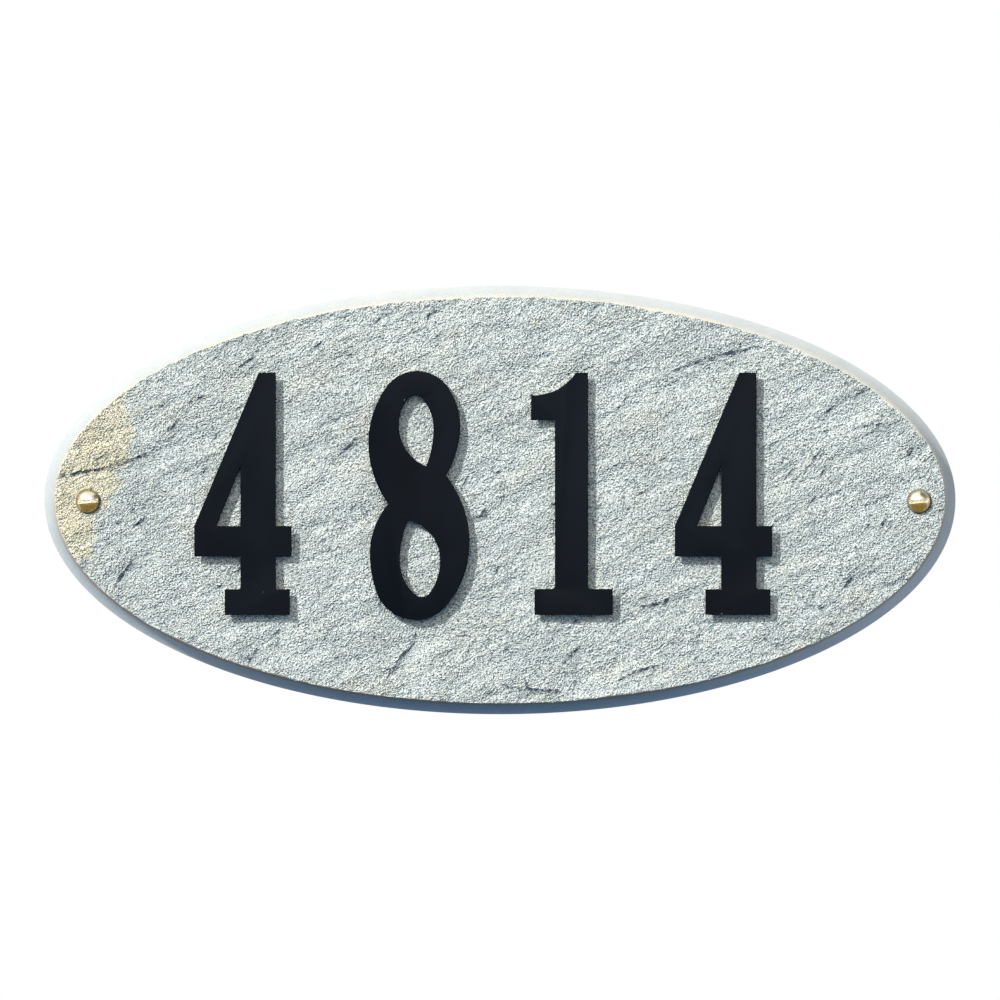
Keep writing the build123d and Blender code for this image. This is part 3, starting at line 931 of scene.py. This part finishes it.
def satin_black():
    """Blue-black satin plastic with a fine orange peel, faint wiping marks and a few specks of dust."""
    finish = Finish("satin_black")
    peel = finish.noise(finish.object_place, 0.9 * MM, detail=1.5)
    wiped = finish.noise(finish.object_place, (30 * MM, 30 * MM, 60 * MM), detail=3.0, rough=0.6)
    cells = finish.node("TexVoronoi", {"Vector": finish.object_place, "Scale": 130.0, "Randomness": 1.0})
    dot = finish.ramp(cells.outputs["Distance"], 0.022, 0.045, 1.0, 0.0)
    chosen = finish.ramp(finish.noise(finish.object_place, 8 * MM), 0.54, 0.56)
    dust = finish.math("MULTIPLY", dot, chosen)
    body = finish.blend(finish.ramp(wiped, 0.3, 0.7), *BLACK_SHADES)
    finish.surface(
        Base_Color=finish.blend(dust, body, DUST_COLOUR),
        Roughness=finish.ramp(wiped, 0.3, 0.7, 0.36, 0.46),
        Specular_IOR_Level=0.06,
        Normal=finish.bump(peel, 0.012 * MM),
    )
    return finish.material


def foam():
    """Dark closed-cell foam tape."""
    finish = Finish("dark_foam")
    cells = finish.node("TexVoronoi", {"Vector": finish.object_place, "Scale": 3200.0})
    tint = finish.noise(finish.object_place, 6 * MM, detail=3.0)
    finish.surface(
        Base_Color=finish.blend(finish.ramp(tint, 0.3, 0.7), *FOAM_SHADES),
        Roughness=0.9,
        Normal=finish.bump(cells.outputs["Distance"], 0.08 * MM),
    )
    return finish.material


def brass():
    """Turned brass: pale where rubbed, browner in patches, painted shade on the rims, most at the lower
    right, and on the threads; dented and scratched.
    """
    finish = Finish("turned_brass")
    cloud = finish.noise(finish.object_place, 2.4 * MM, detail=3.0, rough=0.6)
    scratches = finish.noise(finish.object_place, (2.5 * MM, 0.25 * MM, 0.12 * MM), detail=2.0)
    tarnish = finish.ramp(cloud, 0.50, 0.72, 0.0, 0.6)
    # painted shade and dark reflection on the rim, most at the lower right
    lower_right_shade = finish.ramp(finish.attribute("lower_right_shade"), -0.2, 0.5, 0.5, 0.97)
    rim = finish.math("MULTIPLY", finish.ramp(finish.attribute("outwards"), 0.70, 0.92), lower_right_shade)
    dents = finish.noise(finish.object_place, 0.9 * MM, detail=1.0)
    body = finish.blend(tarnish, *BRASS_SHADES)
    finish.surface(
        Base_Color=finish.blend(rim, body, RIM_SHADE_COLOUR),
        Metallic=1.0,
        Roughness=finish.ramp(cloud, 0.3, 0.7, 0.20, 0.32),
        Normal=finish.bump(scratches, 0.01 * MM, under=finish.bump(dents, 0.12 * MM)),
    )
    return finish.material


def pale_floor():
    """A wide pale floor below the plaque, out of the front view."""
    bpy.ops.object.select_all(action="DESELECT")
    bpy.ops.mesh.primitive_circle_add(
        vertices=FLOOR_SIDES,
        radius=FLOOR_RADIUS,
        fill_type="NGON",
        location=(0, 0, FLOOR_LEVEL),
    )
    floor = bpy.context.object
    floor.name = "pale_floor"
    finish = Finish("pale_floor")
    speckle = finish.noise(finish.object_place, 0.4, detail=4.0)
    finish.surface(
        Base_Color=finish.blend(finish.ramp(speckle, 0.3, 0.7), *FLOOR_SHADES),
        Roughness=0.8,
    )
    floor.data.materials.append(finish.material)
    floor.visible_diffuse = False
    floor.visible_glossy = False


def mirrored_card(name, place, turn, size, colour):
    """A card in front of the plaque that only shows as a reflection."""
    bpy.ops.object.select_all(action="DESELECT")
    bpy.ops.mesh.primitive_plane_add(size=1, location=place, rotation=(0, radians(turn), 0))
    card = bpy.context.object
    card.name = name
    card.scale = size
    finish = Finish(name)
    finish.surface(Base_Color=(*colour, 1), Roughness=1.0)
    card.data.materials.append(finish.material)
    card.visible_camera = False
    card.visible_diffuse = False
    card.visible_shadow = False
    card.visible_transmission = False


def surroundings():
    """A world that is white to the camera and in reflections, and that lights the rest in two tones."""
    world = bpy.data.worlds.new("studio")
    world.use_nodes = True
    nodes, links = world.node_tree.nodes, world.node_tree.links
    nodes.clear()
    output = nodes.new("ShaderNodeOutputWorld")
    fill = nodes.new("ShaderNodeBackground")
    direction = nodes.new("ShaderNodeTexCoord")
    height = nodes.new("ShaderNodeVectorMath")
    height.operation = "DOT_PRODUCT"
    height.inputs[1].default_value = FILL_AXIS
    links.new(direction.outputs["Generated"], height.inputs[0])
    spread = nodes.new("ShaderNodeMapRange")
    spread.inputs["From Min"].default_value = -FILL_BORDER
    spread.inputs["From Max"].default_value = FILL_BORDER
    links.new(height.outputs["Value"], spread.inputs["Value"])
    tint = nodes.new("ShaderNodeMix")
    tint.data_type = "RGBA"
    tint.inputs[6].default_value = (*FILL_LOW, 1)
    tint.inputs[7].default_value = (*FILL_HIGH, 1)
    links.new(spread.outputs["Result"], tint.inputs[0])
    links.new(tint.outputs[2], fill.inputs["Color"])
    white = nodes.new("ShaderNodeBackground")
    white.inputs["Color"].default_value = (1, 1, 1, 1)
    path = nodes.new("ShaderNodeLightPath")
    seen = path.outputs["Is Camera Ray"]
    for ray in ("Is Glossy Ray", "Is Transmission Ray"):
        either = nodes.new("ShaderNodeMath")
        either.operation = "MAXIMUM"
        links.new(seen, either.inputs[0])
        links.new(path.outputs[ray], either.inputs[1])
        seen = either.outputs[0]
    mix = nodes.new("ShaderNodeMixShader")
    links.new(seen, mix.inputs["Fac"])
    links.new(fill.outputs[0], mix.inputs[1])
    links.new(white.outputs[0], mix.inputs[2])
    links.new(mix.outputs[0], output.inputs["Surface"])
    return world


def lamps():
    """The main sun from the upper left, soft suns from front and back, and a low lamp at each side."""
    for travel, strength, size in (
        (LIGHT_TRAVEL, SUN_STRENGTH, SUN_SIZE),
        (FRONT_TRAVEL, FRONT_STRENGTH, FRONT_SIZE),
        (BACK_TRAVEL, BACK_STRENGTH, BACK_SIZE),
    ):
        bpy.ops.object.light_add(type="SUN")
        sun = bpy.context.object
        sun.rotation_euler = Vector(travel).to_track_quat("-Z", "Y").to_euler()
        sun.data.energy = strength
        sun.data.angle = size
    for settings in (RIGHT_KICKER, LEFT_KICKER):
        bpy.ops.object.light_add(type="AREA", location=settings["place"])
        kicker = bpy.context.object
        kicker.rotation_euler = Vector(settings["travel"]).to_track_quat("-Z", "Y").to_euler()
        kicker.data.energy = settings["power"]
        kicker.data.size = KICKER_SIZE
        kicker.visible_camera = False
        kicker.visible_glossy = False


def square_camera():
    """A distant camera square on to the plaque, with the photograph's scale at the slab's half depth."""
    bpy.ops.object.camera_add(location=(0, -CAMERA_DISTANCE, 0), rotation=(radians(90), 0, 0))
    camera = bpy.context.object
    edge_distance = CAMERA_DISTANCE - FACE_LEVEL / 2
    camera.data.lens = camera.data.sensor_width * edge_distance / (PHOTO_WIDTH * PIXEL)
    camera.data.clip_end = CAMERA_CLIP
    return camera


def studio():
    """Surroundings, lamps and camera."""
    scene = bpy.context.scene
    scene.view_settings.view_transform = "Standard"
    scene.world = surroundings()
    lamps()
    scene.camera = square_camera()


stone_slab(split_stone())
black = satin_black()
tape = foam()
for number in ("four_left", "eight", "one", "four_right"):
    figure("digit_" + number, black)
    foam_pad("pad_" + number, tape)
brass_screws(brass())
pale_floor()
mirrored_card("low_card", **LOW_CARD)
mirrored_card("side_card", **SIDE_CARD)
studio()
